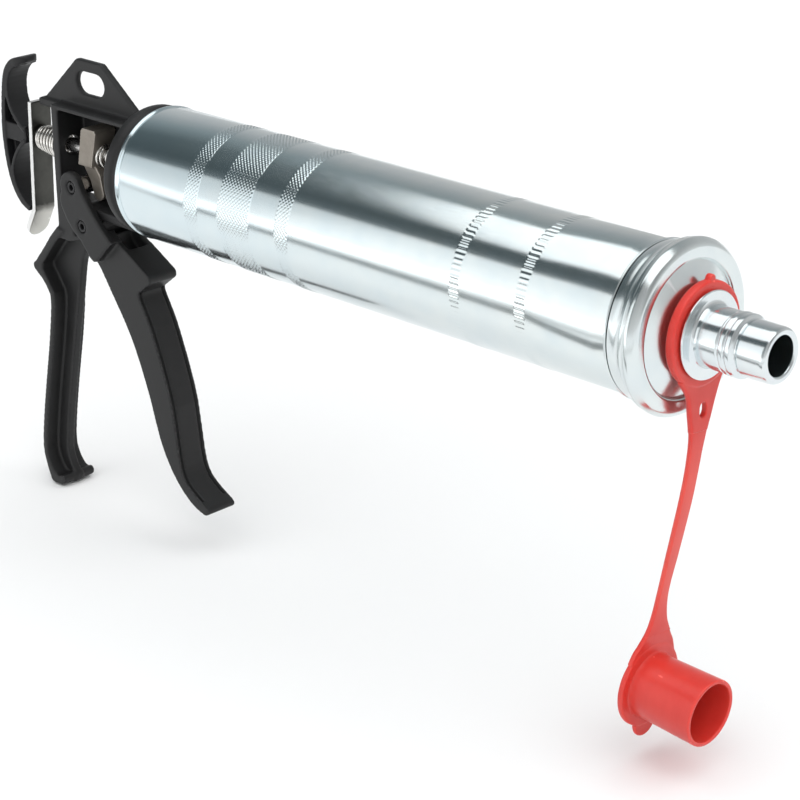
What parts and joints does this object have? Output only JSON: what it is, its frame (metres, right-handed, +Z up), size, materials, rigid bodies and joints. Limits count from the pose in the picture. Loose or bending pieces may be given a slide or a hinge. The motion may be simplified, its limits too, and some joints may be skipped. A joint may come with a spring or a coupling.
{
  "type": "caulking gun",
  "caption": "Lever-operated gun with a closed steel barrel, a screw cap with a coupling plug and tethered dust cap, and a cast handle with a squeeze trigger.",
  "frame": {"origin": "centre of the hanging hole in the tab above the handle, on the middle plane", "axes": "+X forward along the barrel to the plug, +Y to the gun's left side seen from behind, +Z up"},
  "size_m": [0.4297, 0.065, 0.2074],
  "materials": {
    "black_coat": "matt black powder coat on a casting",
    "black_plastic": "black moulded plastic with a fine grain",
    "bright_zinc": "bright bluish zinc plating",
    "polished_steel": "bright drawn steel",
    "spring_steel": "plated spring wire",
    "sintered_steel": "dull grey-brown hardened steel",
    "bronze": "plain bronze",
    "black_rubber": "matt black rubber",
    "red_polyethylene": "red slightly translucent polyethylene"
  },
  "bodies": {
    "frame": {"frame": "black_coat", "rod_bush": "bronze", "barrel_tube": "bright_zinc", "pivot_pin": "black_coat", "main_spring": "spring_steel", "release_spring": "spring_steel"},
    "trigger": {"trigger": "black_coat", "pusher_pin": "black_coat", "pusher_sleeve": "polished_steel"},
    "jam_block": {"jam_block": "sintered_steel"},
    "release_plate": {"release_plate": "bright_zinc"},
    "rod": {"push_rod": "polished_steel", "pull_hook": "black_plastic", "piston_backing_plate": "bright_zinc", "piston_cup": "black_rubber", "piston_front_plate": "bright_zinc", "piston_nut": "bright_zinc", "piston_lock_nut": "bright_zinc"},
    "cap_carrier": {"cap_gasket": "black_rubber"},
    "cap": {"front_cap": "bright_zinc", "coupling_plug": "bright_zinc", "plug_nut": "bright_zinc"},
    "dust_cap_ring": {"dust_cap_ring": "red_polyethylene"},
    "dust_cap_strap": {"dust_cap_strap": "red_polyethylene"},
    "dust_cap": {"dust_cap": "red_polyethylene"}
  },
  "joints": [
    {"name": "trigger_squeeze", "type": "hinge", "parent": "frame", "child": "trigger", "pos_m": [0.0012, 0, -0.0618], "axis": [0, 1, 0], "range_deg": [0, 30], "stiffness_Nm_per_rad": 1.2, "springref_deg": -17.19},
    {"name": "jam_slide", "type": "slide", "parent": "frame", "child": "jam_block", "axis": [1, 0, 0], "range_m": [0, 0.0093], "deforming": ["main_spring"]},
    {"name": "release_tilt", "type": "hinge", "parent": "frame", "child": "release_plate", "pos_m": [-0.0396, 0, -0.0146], "axis": [0, -1, 0], "range_deg": [0, 5.5], "stiffness_Nm_per_rad": 1, "springref_deg": -8.59, "deforming": ["release_spring"]},
    {"name": "rod_slide", "type": "slide", "parent": "frame", "child": "rod", "axis": [1, 0, 0], "range_m": [-0.23, 0]},
    {"name": "cap_travel", "type": "slide", "parent": "frame", "child": "cap_carrier", "axis": [1, 0, 0], "range_m": [0, 0.008]},
    {"name": "cap_turn", "type": "hinge", "parent": "cap_carrier", "child": "cap", "pos_m": [0.322, 0, -0.0302], "axis": [1, 0, 0], "range_deg": [0, 1440]},
    {"name": "ring_swivel", "type": "hinge", "parent": "cap", "child": "dust_cap_ring", "pos_m": [0.335, 0, -0.0302], "axis": [1, 0, 0], "continuous": true},
    {"name": "strap_flex", "type": "hinge", "parent": "dust_cap_ring", "child": "dust_cap_strap", "pos_m": [0.335, -0.0015, -0.0677], "axis": [0, -1, 0], "range_deg": [-40, 75], "stiffness_Nm_per_rad": 0.02},
    {"name": "dust_cap_tilt", "type": "hinge", "parent": "dust_cap_strap", "child": "dust_cap", "pos_m": [0.323, -0.0056, -0.1482], "axis": [0, -1, 0], "range_deg": [-30, 60], "stiffness_Nm_per_rad": 0.03}
  ],
  "couplings": [
    {"joint": "jam_slide", "follows": "trigger_squeeze", "m_per_rad": 0.0175},
    {"joint": "cap_travel", "follows": "cap_turn", "m_per_rad": 0.00031831}
  ]
}
